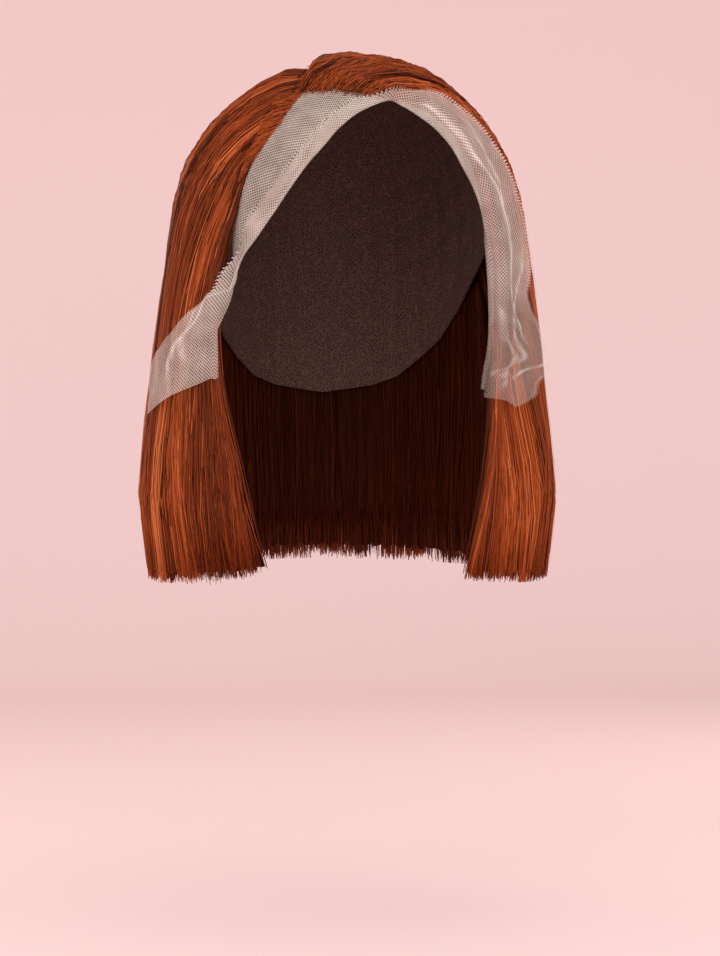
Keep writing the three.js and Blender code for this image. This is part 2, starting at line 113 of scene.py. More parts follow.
def colorRamp(tree, source, stops):
    ramp = node(tree, "ShaderNodeValToRGB")
    elements = ramp.color_ramp.elements
    while len(elements) < len(stops):
        elements.new(0.5)
    for element, (place, color) in zip(elements, stops):
        element.position = place
        element.color = (*color, 1.0)
    link(tree, source, ramp.inputs["Fac"])
    return ramp.outputs["Color"]


def mixColor(tree, factor, first, second):
    # The first colour may come from a socket.
    made = node(tree, "ShaderNodeMix", data_type="RGBA")
    link(tree, factor, made.inputs["Factor"])
    made.inputs["B"].default_value = (*second, 1.0)
    if isinstance(first, tuple):
        made.inputs["A"].default_value = (*first, 1.0)
    else:
        link(tree, first, made.inputs["A"])
    return made.outputs["Result"]


def readMap(tree, name):
    # A map's own socket and the two numbers in it.
    uv = node(tree, "ShaderNodeUVMap", uv_map=name).outputs["UV"]
    split = node(tree, "ShaderNodeSeparateXYZ")
    link(tree, uv, split.inputs["Vector"])
    return uv, split.outputs["X"], split.outputs["Y"]


def stretchedNoise(tree, vector, scale, detail):
    grain = node(tree, "ShaderNodeMapping")
    grain.inputs["Scale"].default_value = scale
    link(tree, vector, grain.inputs["Vector"])
    noise = node(tree, "ShaderNodeTexNoise")
    noise.inputs["Scale"].default_value = 1.0
    noise.inputs["Detail"].default_value = detail
    link(tree, grain.outputs["Vector"], noise.inputs["Vector"])
    return noise.outputs["Fac"]


def addBump(tree, height, shader, strength, distance):
    bump = node(tree, "ShaderNodeBump")
    bump.inputs["Strength"].default_value = strength
    bump.inputs["Distance"].default_value = distance
    link(tree, height, bump.inputs["Height"])
    link(tree, bump.outputs["Normal"], shader.inputs["Normal"])


def setSurface(shader, roughness, gloss):
    shader.inputs["Roughness"].default_value = roughness
    shader.inputs["Specular IOR Level"].default_value = gloss


# Studio: floor, backdrop and lights

studio = dict(
    backdropColor=(0.838, 0.634, 0.629),
    worldColor=(1.0, 0.94, 0.93),
    worldStrength=0.86,
    width=7.0,  # m, as the next five
    behind=1.5,
    front=3.0,
    height=3.6,
    sweep=0.9,  # radius of the bend between floor and wall
    aim=(0.0, 0.0, -0.13),  # the middle of the wig
    sweepSteps=24,
    paperRoughness=0.95, paperGloss=0.1,
)

# Each light: place and size in metres, power in watts and colour
lights = dict(
    keyLeft=((-1.25, -1.35, 0.5), 0.8, 7.6, (1.0, 0.96, 0.93)),
    fillRight=((1.25, -1.25, 0.25), 0.9, 3.3, (1.0, 0.95, 0.93)),
    topSoft=((0.1, -0.35, 0.9), 0.6, 1.7, (1.0, 0.97, 0.95)),
    rimLeft=((-1.0, 0.7, 0.1), 0.6, 2.5, (1.0, 0.92, 0.9)),
    rimRight=((1.05, 0.7, 0.1), 0.6, 2.5, (1.0, 0.92, 0.9)),
    frontWash=((0.0, -2.9, 0.6), 2.6, 40.0, (1.0, 0.96, 0.95)),
)


def addLights():
    for name, (place, size, power, color) in lights.items():
        data = bpy.data.lights.new(name, "AREA")
        data.size = size
        data.energy = power
        data.color = color
        lamp = linkObject(name, data)
        lamp.location = place
        aim = np.array(studio["aim"]) - place
        yaw = math.atan2(-aim[0], aim[1])
        pitch = math.atan2(aim[2], math.hypot(aim[0], aim[1])) + math.pi / 2
        lamp.rotation_euler = (pitch, 0.0, yaw)
    world = bpy.data.worlds.new("studioWorld")
    world.use_nodes = True
    sky = world.node_tree.nodes["Background"]
    sky.inputs["Color"].default_value = (*studio["worldColor"], 1.0)
    sky.inputs["Strength"].default_value = studio["worldStrength"]
    bpy.context.scene.world = world
    bpy.context.scene.view_settings.view_transform = "Standard"


def addBackdrop():
    # A floor that sweeps up into a wall: a flat run, a quarter circle and an upright run.
    floor = (view["crownRow"] - view["floorRow"]) * view["scale"] * mm
    bend = studio["sweep"]
    turns = np.linspace(0.0, math.pi / 2, studio["sweepSteps"])
    behind = studio["behind"]
    depth = np.concatenate([[-studio["front"]], behind + bend * np.sin(turns), [behind + bend]])
    height = np.concatenate([[floor], floor + bend * (1 - np.cos(turns)), [studio["height"]]])
    side = np.array([-0.5, 0.5]) * studio["width"]
    count = len(depth)
    points = np.stack([np.repeat(side, count), np.tile(depth, 2), np.tile(height, 2)], -1)
    row = np.arange(count - 1)
    faces = np.stack([row, row + count, row + count + 1, row + 1], -1)
    mesh = bpy.data.meshes.new("backdrop")
    mesh.from_pydata(points.tolist(), [], faces.tolist())
    mesh.shade_smooth()
    backdrop = linkObject("backdrop", mesh)
    material, _, shader = newMaterial("paperBackdrop")
    shader.inputs["Base Color"].default_value = (*studio["backdropColor"], 1.0)
    setSurface(shader, studio["paperRoughness"], studio["paperGloss"])
    mesh.materials.append(material)


addLights()
addBackdrop()
print("studio ready")


# The wig's forms, in millimetres, on a flattened disc: 0 is the crown, 1 the widest line round
# the head, 2 the hem. The same named sizes and shares as the frame's own solids.

wig = dict(
    capHalfWidth=77.0, capFront=86.0, capBack=98.0, capDepth=89.5, capWall=1.4,
    hairHalfWidth=114.0, hairFront=104.0, hairBack=114.0, hairHeight=289.0, crownLift=7.5,
    rootThickness=2.0, frontRollWidth=27.0, partSlopeLeft=16.0, partSlopeRight=85.0,
    partDepth=0.45, lockDepth=2.6, partGap=0.8, slipGap=0.45, seatGap=0.75, laceWall=1.0,
    laceTuckStart=14.0, laceTuckEnd=22.0, laceFoldGap=0.6, laceOverHair=2.1, laceClimb=6.0,
)
hairDome = (0.36, 0.848, 0.923, 0.991)  # down, half width, front, back
hairCurtain = [
    (0.35, 0.854, 0.942, 1.0), (0.512, 0.913, 0.971, 1.0), (0.675, 0.959, 1.0, 0.991),
    (0.834, 1.0, 1.0, 0.974), (1.0, 0.957, 0.933, 0.912),
]
innerCurtain = [
    (0.318, 1.0, 1.0, 1.0), (0.492, 0.987, 0.977, 0.959), (0.659, 0.987, 0.93, 0.918),
    (0.822, 0.961, 0.884, 0.878), (0.993, 0.909, 0.814, 0.837),
]

# Where the hair ends in front: place down the disc, angle from the face, stand-off from the head
frontEdge = np.array([
    (2.0, -36, 0.5), (1.92, -38.6, 0.53), (1.65, -47.4, 0.6), (1.45, -53.4, 0.73),
    (1.19, -59, 0.69), (1.07, -59.4, 0.45), (0.95, -58.6, 0.08), (0.81, -55, 0),
    (0.64, -47, 0), (0.45, -41, 0), (0.44, -22, 0), (0.46, -4, 0), (0.485, 12, 0),
    (0.52, 28, 0), (0.62, 44, 0), (0.81, 55, 0), (0.95, 58.6, 0.08), (1.07, 59.4, 0.3),
    (1.19, 58.6, 0.38), (1.45, 53, 0.42), (1.65, 47, 0.48), (1.92, 39, 0.5), (2.0, 36, 0.5),
])
partCorner, rightTemple, leftTemple = 9, 7, 15
crownWhorl = np.array([-0.085, 0.18])

# How the hair falls: share along the root line, heading, reach, rim, angle over the side of the
# head, angle at the hem, and how far down the hem is
rightFall = np.array([
    (0, -148, 0.3, 1.2, -127.8, -127.8, 1.97), (0.35, -112, 0.3, 1.2, -106, -106, 1.99),
    (0.59, -108, 0.3, 1.2, -88, -86, 2.0), (0.8, -108, 0.3, 1.25, -74, -67, 2.0),
    (0.92, -100, 0.36, 1.4, -62, -50, 2.0), (1, -88, 0.42, 1.517, -55.5, -37, 1.98),
])
leftFall = np.array([
    (0, 148, 0.3, 1.2, 127.8, 127.8, 1.97), (0.18, 122, 0.32, 1.2, 113, 113, 1.98),
    (0.36, 124, 0.36, 1.2, 99, 99, 1.99), (0.5, 138, 0.36, 1.2, 87, 86, 2.0),
    (0.64, 132, 0.32, 1.2, 77, 72, 2.0), (0.78, 120, 0.3, 1.24, 69, 60, 2.0),
    (0.9, 106, 0.34, 1.38, 62, 48, 2.0), (1, 88, 0.42, 1.517, 56, 36.5, 2.0),
])
backFall = np.array([
    (0, 152, 0.3, 1.2, 128.2, 128.2, 1.97), (0.5, 180, 0.3, 1.2, 180, 180, 1.955),
    (1, 208, 0.3, 1.2, 231.8, 231.8, 1.97),
])
curtainInside = np.array([0, 0, 0, 0, 0, 0.42, 0.53, 0.6, 0.72])[:, None]
leastWall = 0.22  # share of the way from head to outer form that the hair's wall keeps
quarter = 0.25  # the disc's rows lie this far apart
headMiddle = np.array([0, 0, -0.7 * wig["capDepth"]])  # a point well inside the head
slopeStep = 1e-3  # on the disc, for measuring slopes
aheadOfFace = [[1.3, -2.6], [-1.3, -2.6]]  # closes the outline of the opening for the face
partSteps = 9


def smoothStep(x):
    # 3x^2 - 2x^3 between 0 and 1, level at both ends.
    x = np.clip(x, 0.0, 1.0)
    return x * x * (3.0 - 2.0 * x)


def alongRows(rows, place):
    # Catmull-Rom through evenly spaced rows of numbers.
    last = len(rows) - 1
    at = np.clip(place, 0, last - 1e-9)
    k = np.floor(at).astype(int)
    t = (at - k)[..., None]
    p1, p2 = rows[k], rows[k + 1]
    p0 = np.where((k == 0)[..., None], 2 * p1 - p2, rows[np.maximum(k - 1, 0)])
    p3 = np.where((k + 2 > last)[..., None], 2 * p2 - p1, rows[np.minimum(k + 2, last)])
    bend = 2 * p0 - 5 * p1 + 4 * p2 - p3
    twist = 3 * p1 - p0 - 3 * p2 + p3
    return 0.5 * (2 * p1 + (p2 - p0) * t + bend * t**2 + twist * t**3)


def onDisc(down, angle):
    # Polar to flat: the angle is counted from the face towards the wearer's left.
    turn = np.radians(angle)
    return np.stack([down * np.sin(turn), -down * np.cos(turn)], -1)


def formRows(top, size, dome, curtain):
    # A quarter round dome by sine and cosine, then the curtain's sections, each as
    # height, half width, front and back. The first row mirrors the one after the crown.
    turn = np.arange(4) * quarter * math.pi / 2
    domed = np.stack([
        top - size[3] * dome[0] * (1 - np.cos(turn)),
        size[0] * dome[1] * np.sin(turn),
        size[1] * dome[2] * np.sin(turn),
        size[2] * dome[3] * np.sin(turn),
    ], -1)
    fall = [(top - size[3] * r[0], size[0] * r[1], size[1] * r[2], size[2] * r[3]) for r in curtain]
    mirrored = domed[1] * [1, -1, -1, -1]
    return np.vstack([mirrored, domed, fall])


skinTop = wig["capWall"] + wig["seatGap"] / 2
innerHeight = wig["hairHeight"] - wig["crownLift"]
outerRows = formRows(skinTop + wig["crownLift"],
                     (wig["hairHalfWidth"], wig["hairFront"], wig["hairBack"], wig["hairHeight"]),
                     hairDome, hairCurtain)
innerRows = formRows(skinTop, (wig["capHalfWidth"], wig["capFront"], wig["capBack"], innerHeight),
                     (wig["capDepth"] / innerHeight, 1, 1, 1), innerCurtain)


def onForm(rows, q):
    # An oval section with its own front and back, at the height of that place on the disc.
    # Past the hem the form goes on straight, so that longer tips keep their length.
    place = np.hypot(q[..., 0], q[..., 1]) / quarter + 1
    pastHem = np.maximum(place - (len(rows) - 1), 0)[..., None]
    level = alongRows(rows, place) + pastHem * (rows[-1] - rows[-2])
    angle = np.arctan2(q[..., 0], -q[..., 1])
    reach = np.where(np.cos(angle) > 0, level[..., 2], level[..., 3])
    return np.stack([level[..., 1] * np.sin(angle), -reach * np.cos(angle), level[..., 0]], -1)


def unit(vectors):
    return vectors / np.maximum(np.linalg.norm(vectors, axis=-1, keepdims=True), 1e-12)


def outward(q):
    # Cross product of the two slopes of the outer form, turned away from the head.
    across, along = [onForm(outerRows, q + step) - onForm(outerRows, q - step)
                     for step in ([slopeStep, 0.0], [0.0, slopeStep])]
    normal = unit(np.cross(across, along))
    away = onForm(outerRows, q) - headMiddle
    return normal * np.sign((normal * away).sum(-1))[..., None]


frontDisc = onDisc(frontEdge[:, 0], frontEdge[:, 1])
frontLine = onForm(outerRows, frontDisc)
partEnds = np.array([frontDisc[partCorner], crownWhorl])
partLine = onForm(outerRows, np.linspace(partEnds[0], partEnds[1], partSteps))


def nearest(points, line):
    # Shortest distance to a chain of straight runs, and the place along the chain.
    best = np.full(points.shape[:-1], np.inf)
    where = np.zeros(points.shape[:-1])
    for k in range(len(line) - 1):
        run = line[k + 1] - line[k]
        t = np.clip(((points - line[k]) @ run) / (run @ run), 0, 1)
        distance = np.linalg.norm(points - line[k] - t[..., None] * run, axis=-1)
        closer = distance < best
        best = np.where(closer, distance, best)
        where = np.where(closer, k + t, where)
    return best, where


def hasHair(q):
    # Even-odd test against the outline of the opening for the face.
    outline = np.vstack([frontDisc, aheadOfFace])
    inOpening = np.zeros(q.shape[:-1], bool)
    for a, b in zip(outline, np.roll(outline, -1, axis=0)):
        spans = (a[1] > q[..., 1]) != (b[1] > q[..., 1])
        rise = b[1] - a[1] if b[1] != a[1] else 1e-12
        inOpening ^= spans & (q[..., 0] < (b[0] - a[0]) * (q[..., 1] - a[1]) / rise + a[0])
    return ~inOpening


def hairDepth(q):
    # The surface's share of the way from head to outer form: it rolls up from the front edge
    # and dips along the part.
    points = onForm(outerRows, q)
    distance, place = nearest(points, frontLine)
    edge = np.interp(place, np.arange(len(frontEdge)), frontEdge[:, 2])
    grown = hasHair(q)
    a, b = partEnds
    onLeft = (q[..., 0] - a[0]) * (b[1] - a[1]) - (q[..., 1] - a[1]) * (b[0] - a[0]) > 0
    slope = np.where(onLeft, wig["partSlopeLeft"], wig["partSlopeRight"])
    partDip = wig["partDepth"] + (1 - wig["partDepth"]) * smoothStep(nearest(points, partLine)[0] / slope)
    roll = edge + (1 - edge) * smoothStep(distance / wig["frontRollWidth"])
    return np.where(grown, roll * partDip, edge), distance, grown


laceRoom = 2 * wig["slipGap"] + wig["laceWall"]
edgeRise = wig["rootThickness"] + laceRoom


def between(q, lift, proud):
    # A point that share of the way from head form to outer form, then pushed out along the normal.
    low, high = onForm(innerRows, q), onForm(outerRows, q)
    return low + (high - low) * lift[..., None] + outward(q) * proud[..., None]


def hairSkins(q):
    # The outer and the inner surface of the hair's wall at places on the disc.
    lift, distance, _ = hairDepth(q)
    outside = between(q, lift, edgeRise * (1 - lift))
    tuck = smoothStep((wig["laceTuckEnd"] - distance) / (wig["laceTuckEnd"] - wig["laceTuckStart"]))
    gap = wig["seatGap"] / 2 + (laceRoom - wig["seatGap"] / 2) * tuck
    opened = alongRows(curtainInside, np.hypot(q[..., 0], q[..., 1]) / quarter)[..., 0]
    inside = between(q, np.clip(np.minimum(opened, lift - leastWall), 0, None), gap)
    return outside, inside


def alongLine(line, share):
    # A place at that share of the length of a chain of straight runs.
    runs = np.concatenate([[0], np.cumsum(np.linalg.norm(np.diff(line, axis=0), axis=1))])
    at = share * runs[-1]
    return np.stack([np.interp(at, runs, line[:, 0]), np.interp(at, runs, line[:, 1])], -1)


def fallPath(fall, rootLine, share, t):
    # A cubic Bezier on the disc: root, a reach along the heading, over the rim, and the hem.
    local = np.interp(share, fall[:, 0], np.arange(len(fall)))
    heading, reach, rim, over, end, hem = np.moveaxis(alongRows(fall[:, 1:], local), -1, 0)
    root = alongLine(rootLine, share)
    s = 1 - t
    weights = [s**3, 3 * s * s * t, 3 * s * t * t, t**3]
    corners = [root, root + onDisc(reach, heading), onDisc(rim, over), onDisc(hem, end)]
    return sum(w[..., None] * c for w, c in zip(weights, corners))


def besidePart(side):
    return np.array([side * wig["partGap"] / 2 / (wig["hairHalfWidth"] * hairDome[1]), 0.0])


leftRoots = np.vstack([crownWhorl + besidePart(1), frontDisc[partCorner] + besidePart(1),
                       frontDisc[partCorner + 1:leftTemple + 1]])
rightRoots = np.vstack([crownWhorl + besidePart(-1), frontDisc[partCorner] + besidePart(-1),
                        frontDisc[rightTemple:partCorner][::-1]])
backRoots = np.vstack([crownWhorl, crownWhorl])   # all of it starts at the whorl


# Mesh making

def addPiece(name, points, faces, maps):
    # Points in millimetres; faces is a list of index arrays, each with its own corner count;
    # maps holds one (u, v) for each point under each map's name.
    mesh = bpy.data.meshes.new(name)
    sizes = np.concatenate([np.full(len(f), f.shape[1]) for f in faces])
    corners = np.concatenate([f.ravel() for f in faces]).astype(np.int32)
    mesh.vertices.add(len(points))
    mesh.vertices.foreach_set("co", (points * mm).astype(np.float32).ravel())
    mesh.loops.add(len(corners))
    mesh.loops.foreach_set("vertex_index", corners)
    mesh.polygons.add(len(sizes))
    starts = np.concatenate([[0], np.cumsum(sizes)[:-1]]).astype(np.int32)
    mesh.polygons.foreach_set("loop_start", starts)
    for mapName, uv in maps.items():
        layer = mesh.uv_layers.new(name=mapName)
        layer.uv.foreach_set("vector", uv[corners].astype(np.float32).ravel())
    mesh.update(calc_edges=True)
    mesh.shade_smooth()
    return linkObject(name, mesh)


def gridFaces(index, turned=False):
    a, b, c, d = index[:-1, :-1], index[1:, :-1], index[1:, 1:], index[:-1, 1:]
    order = (a, b, c, d) if turned else (a, d, c, b)
    return np.stack(order, -1).reshape(-1, 4)


def wallMesh(name, outer, inner, uv):
    # Two grids of points joined round all four edges into one closed wall, with one map for both.
    columns, rows = outer.shape[:2]
    points = np.concatenate([outer.reshape(-1, 3), inner.reshape(-1, 3)])
    out = np.arange(columns * rows).reshape(columns, rows)
    ins = out + columns * rows
    ring = np.concatenate([out[:, 0], out[-1, 1:], out[-2::-1, -1], out[0, -2:0:-1]])
    hidden = np.concatenate([ins[:, 0], ins[-1, 1:], ins[-2::-1, -1], ins[0, -2:0:-1]])
    rim = np.stack([ring, np.roll(ring, -1), np.roll(hidden, -1), hidden], -1)
    faces = np.concatenate([gridFaces(out), gridFaces(ins, True), rim])
    fan = points[faces]
    volume = (fan[:, 0] * (np.cross(fan[:, 1], fan[:, 2]) + np.cross(fan[:, 2], fan[:, 3]))).sum()
    flat = uv.reshape(-1, 2)
    return addPiece(name, points, [faces if volume > 0 else faces[:, ::-1]],
                    {"OFBake": np.concatenate([flat, flat])})


def onMap(t):
    # The way from root to tip on the strands' map, with room for what starts early or ends late.
    return 0.05 + 0.9 * t


def runningLength(points):
    # Length along each row of points, from 0 at its first one.
    runs = np.linalg.norm(np.diff(points, axis=1), axis=-1)
    return np.concatenate([np.zeros((len(points), 1)), np.cumsum(runs, 1)], 1)


toneAcross = 0.006  # how much a strand's tone changes from its middle to either side


def strandMesh(name, path, normal, width, height, shade, along):
    # Each strand is a closed three-sided tube: two corners beside its path and one ridge above it.
    count, steps = path.shape[:2]
    tangent = unit(np.gradient(path, axis=1))
    side = unit(np.cross(tangent, normal))
    up = np.cross(side, tangent)
    half, third = (width / 2)[..., None], (height / 3)[..., None]
    points = np.stack([path - side * half - up * third, path + side * half - up * third,
                       path + up * 2 * third], 2).reshape(-1, 3)
    index = np.arange(count * steps * 3).reshape(count, steps, 3)
    quads = [np.stack([index[:, :-1, k], index[:, 1:, k], index[:, 1:, (k + 1) % 3],
                       index[:, :-1, (k + 1) % 3]], -1).reshape(-1, 4) for k in range(3)]
    ends = [index[:, 0], index[:, -1, ::-1]]
    across = np.clip(shade[:, None] + np.array([-1, 1, 0]) * toneAcross, 0, 1)
    uv = np.stack(np.broadcast_arrays(across[:, None, :], onMap(along)[..., None]), -1).reshape(-1, 2)
    return addPiece(name, points, [np.concatenate(quads), np.concatenate(ends)], {"OFBake": uv})


# Hair

hair = dict(
    steps=12, stepShift=0.45,  # points along a strand, and how far they move
    width=0.52, height=0.36,  # mm in the middle of a strand's length
    own=(0.6, 1.35),  # share of that width which one strand may have
    tipWidth=0.6, tipRun=0.06,  # share of the width left at the tip, and its run
    rootWidth=0.5, rootRun=0.08,
    sink=1.5,  # mm that the outermost strands lie under the form
    layer=3.6, crowding=1.5,  # mm of depth that the outer strands fill, more near the surface
    lining=0.12, liningDepth=(-0.4, 2.5),  # share of strands on the inner side, and mm above it
    leastThickness=0.5, highest=-1.6,  # mm of wall to reckon with, and of depth
    emerge=(4.5, 12.0),  # mm of rise at the root line, and of later strands
    rootStart=(-0.02, 0.012), laterStart=(0.02, 0.5),
    end=0.99,  # share of the fall that strands reach
    hemPace=450.0,  # mm that a strand covers at the hem for each unit of its way
    curtainWidth=210.0,  # mm along the hem of one side
    wispsPerLock=6,
    lockJitter=0.3, wispReach=0.6,  # in locks, as the next two
    wispWidth=0.12, singleWidth=0.5,
    single=0.35,  # share of strands that leave their wisp
    gather=0.16, gatherFrom=0.3,  # how much a lock draws together towards its tip, and from where
    tips=(1.1, 1.5, 1.6), tipLimits=(-25, 5),  # mm, spread by lock, wisp and strand
    shortTip=16.0, shortShare=0.06,
    lean=1.1,  # degrees
    lockSway=(1.5, 1.5), wispSway=(0.9, 2.7),  # mm, and waves from root to tip
    lockRelief=(1.0, 1.1), wispRelief=(0.55, 2.1),
    stray=1.75, wispHeight=0.35, lockCrown=0.8,
    swayPace=2.5, risePace=3.0, leanPace=4.0,  # how soon each of them sets in
    faceHold=10.0,  # how soon away from the face strands are free to lean and rise
    faceShade=0.2, faceTurn=0.8,  # painted shade: how much darker the strands are that turn in beside the face
    tones=(0.18, 0.1, 0.14),
    # painted shade: strands darker by their depth in the outer layer, lining strands darker still
    layerShade=0.06, liningShade=0.45, toneLimits=(0.02, 0.98),
)

# Each part of the hair: its CAD node, fall, root line and start, and how densely it grows
growths = dict(
    # hairLeft's tone is set lower than the other two: painted shade on that side of the hair.
    hairLeft=dict(node="hair_left", fall=leftFall, roots=leftRoots, start=0.0, strands=5200,
                  locks=44, rooted=0.6, pieces=2, facing=True, tone=0.4, seed=11),
    hairRight=dict(node="hair_right", fall=rightFall, roots=rightRoots, start=0.0, strands=3900,
                   locks=36, rooted=0.55, pieces=2, facing=True, tone=0.47, seed=23),
    hairBack=dict(node="hair_back", fall=backFall, roots=backRoots, start=0.05, strands=2600,
                  locks=32, rooted=0.45, pieces=1, facing=False, tone=0.45, seed=37),
)


def tapered(along, root=1.0):
    # Full width along most of the strand, narrower over its first and last stretch.
    tip = hair["tipWidth"] + (1 - hair["tipWidth"]) * smoothStep((1 - along) / hair["tipRun"])
    return tip * (root + (1 - root) * smoothStep(along / hair["rootRun"]))


def stepRamp(count, rng):
    # Even steps from 0 to 1, moved along a little so that the strands' corners never line up.
    even = np.linspace(0, 1, hair["steps"])
    shift = rng.uniform(-hair["stepShift"], hair["stepShift"], count)[:, None]
    return even + shift * np.sin(np.pi * even) / (hair["steps"] - 1)


def waving(size, t, phase):
    return size[0] * np.sin(2 * np.pi * size[1] * t + phase)


def strandField(spec, count, rng):
    # Strands gather in wisps and wisps in locks, each with its own place, sway, depth and tip.
    each = hair["wispsPerLock"]
    locks, wisps = spec["locks"], spec["locks"] * each
    wisp = rng.integers(0, wisps, count)
    lock = wisp // each
    ramp = stepRamp(count, rng)

    def scatter(byLock, byWisp, byStrand):
        # A random amount for each lock, one for each wisp and one for each strand, added up.
        return (rng.normal(0, byLock, locks)[lock] + rng.normal(0, byWisp, wisps)[wisp]
                + rng.normal(0, byStrand, count))

    later = rng.random(count) > spec["rooted"]
    start = spec["start"] + np.where(later, rng.uniform(*hair["laterStart"], count),
                                     rng.uniform(*hair["rootStart"], count))
    short = hair["shortTip"] * rng.random(count) * (rng.random(count) < hair["shortShare"])
    tip = np.clip(scatter(*hair["tips"]) - short, *hair["tipLimits"])
    end = hair["end"] + tip / hair["hemPace"]
    t = start[:, None] + (end - start)[:, None] * ramp

    jitter, reach, gatherFrom = hair["lockJitter"], hair["wispReach"], hair["gatherFrom"]
    centre = (np.arange(locks) + 0.5 + rng.uniform(-jitter, jitter, locks))[lock][:, None]
    inLock = rng.uniform(-reach, reach, wisps)[wisp][:, None]
    apart = np.where(rng.random(count) < hair["single"], hair["singleWidth"], hair["wispWidth"])
    inWisp = (rng.normal(0, 1, count) * apart)[:, None]
    gather = 1 - hair["gather"] * smoothStep((t - gatherFrom) / (1 - gatherFrom))
    wispPhase = rng.uniform(0, 2 * np.pi, (3, wisps))[:, wisp][..., None]
    lockPhase = rng.uniform(0, 2 * np.pi, (2, locks))[:, lock][..., None]
    sway = (waving(hair["lockSway"], t, lockPhase[0]) + waving(hair["wispSway"], t, wispPhase[0])
            + rng.normal(0, hair["stray"], count)[:, None] * (t - gatherFrom))
    share = (centre + (inLock + inWisp) * gather) / locks
    share = share + sway * smoothStep(t * hair["swayPace"]) / hair["curtainWidth"]

    crown = wig["lockDepth"] / 2 * np.cos(np.pi * np.clip(inLock * hair["lockCrown"], -0.5, 0.5))
    rise = (waving(hair["lockRelief"], t, lockPhase[1]) + waving(hair["wispRelief"], t, wispPhase[1])
            + rng.normal(0, hair["wispHeight"], wisps)[wisp][:, None]) * smoothStep(t * hair["risePace"])
    folded = 1 - np.abs(1 - np.abs(share))   # what strays over either edge comes back in
    return dict(t=t, share=folded, rise=crown + rise, tone=scatter(*hair["tones"]), later=later)


def leaning(q, t, free, rng):
    # Every free strand turns a little round the crown as it falls, so that the seams close over.
    turn = np.radians(rng.normal(0, hair["lean"], len(q)))[:, None] * smoothStep(t * hair["leanPace"])
    turn = turn * free
    x, y = q[..., 0], q[..., 1]
    return np.stack([x * np.cos(turn) - y * np.sin(turn), x * np.sin(turn) + y * np.cos(turn)], -1)


def growStrands(name, spec):
    # Depth under the form's surface: most strands fill the outer layer, some line the inner side.
    # On a side that ends at the face, the strands beside the face stay put and are darker in tone, as
    # painted shade; so are the deeper and the lining strands.
    rng = np.random.default_rng(spec["seed"])
    count = spec["strands"]
    field = strandField(spec, count, rng)
    t, share = field["t"], field["share"]
    free, turnedIn = 1.0, 0.0
    if spec["facing"]:
        free = smoothStep((1 - share) * hair["faceHold"])
        turnedIn = smoothStep((share[:, -1] - hair["faceTurn"]) / (1 - hair["faceTurn"]))
    q = leaning(fallPath(spec["fall"], spec["roots"], share, t), t, free, rng)
    outside, inside = hairSkins(q)
    normal = outward(q)
    thickness = np.maximum(np.linalg.norm(outside - inside, axis=-1), hair["leastThickness"])
    layer = rng.random(count) ** hair["crowding"] * hair["layer"]
    depth = (hair["sink"] + layer)[:, None] - field["rise"] * free
    lining = rng.random(count) < hair["lining"]
    lined = thickness - rng.uniform(*hair["liningDepth"], count)[:, None]
    depth = np.where(lining[:, None], lined, depth)
    soon, late = hair["emerge"]
    emerge = np.exp(-runningLength(outside) / np.where(field["later"], late, soon)[:, None])
    depth = np.clip(depth + (thickness - depth) * emerge, hair["highest"], None)
    path = outside + (inside - outside) * (depth / thickness)[..., None]
    along = (t - t[:, :1]) / (t[:, -1:] - t[:, :1])
    taper = tapered(along, hair["rootWidth"]) * rng.uniform(*hair["own"], count)[:, None]
    # Painted shade: darker tone for depth in the layer, for the lining and beside the face.
    shade = (spec["tone"] + field["tone"] - hair["layerShade"] * layer - hair["liningShade"] * lining
             - hair["faceShade"] * turnedIn)
    shade = np.clip(shade, *hair["toneLimits"])
    pieces = []
    for part in range(spec["pieces"]):
        chosen = slice(part, None, spec["pieces"])
        pieces.append(strandMesh(f"{name}Strands{part + 1}", path[chosen], normal[chosen],
                                 (hair["width"] * taper)[chosen], (hair["height"] * taper)[chosen],
                                 shade[chosen], t[chosen]))
    return pieces


# The dense hair under the strands
dense = dict(
    columns=70, rows=44,
    inset=0.012,  # share of the root line left free at both ends
    start=0.015, end=0.982, hemWave=0.004, hemTurn=2.4,
    sink=2.2, rootSink=3.0, groove=0.5, rootRun=0.09,
    sunk=0.4, rootSunk=0.35,  # most of the wall's thickness that may lie over it
    line=1.2, lineShare=0.15,  # mm and share left free on the inner side
)


def growBase(name, spec):
    # A closed wall inside both skins, thin at the roots.
    columns, rows = dense["columns"], dense["rows"]
    share = np.linspace(dense["inset"], 1 - dense["inset"], columns)[:, None] * np.ones((1, rows))
    start = spec["start"] + dense["start"]
    end = dense["end"] + dense["hemWave"] * np.sin(np.arange(columns) * dense["hemTurn"])[:, None]
    t = start + (end - start) * np.linspace(0, 1, rows)[None, :]
    outside, inside = hairSkins(fallPath(spec["fall"], spec["roots"], share, t))
    thickness = np.linalg.norm(outside - inside, axis=-1, keepdims=True)
    inward = (inside - outside) / thickness
    groove = dense["groove"] * np.sin(share * spec["locks"] * 2 * np.pi)[..., None]
    atRoot = smoothStep((dense["rootRun"] - (t - start)) / dense["rootRun"])[..., None]
    sink = hair["sink"] + dense["sink"] + groove + dense["rootSink"] * atRoot
    sink = np.minimum(sink, thickness * (dense["sunk"] + dense["rootSunk"] * atRoot))
    line = np.minimum(dense["line"], thickness * dense["lineShare"])
    return wallMesh(f"{name}Base", outside + inward * sink, inside - inward * line,
                    np.stack([share, onMap(t)], -1))


nape = dict(
    top=1.14, hem=1.86,  # places down the disc
    side=102.0,  # angle from the face where it starts on either side
    strands=1000, wisps=260, seed=53, baseColumns=60, baseRows=20,
    rootDepth=0.25, wispSpread=1.2,
    sway=0.016, wave=0.005, waveTurn=5.0,
    strandTip=0.012, wispTip=0.018, baseShort=0.04,
    strandGaps=(0.8, -1.5), baseGaps=(2.2, -1.6),  # mm off the head form and the outer hair
    crowding=2.2, broader=1.3,
    tone=0.22, toneSpread=0.08, mapStart=0.2,
)


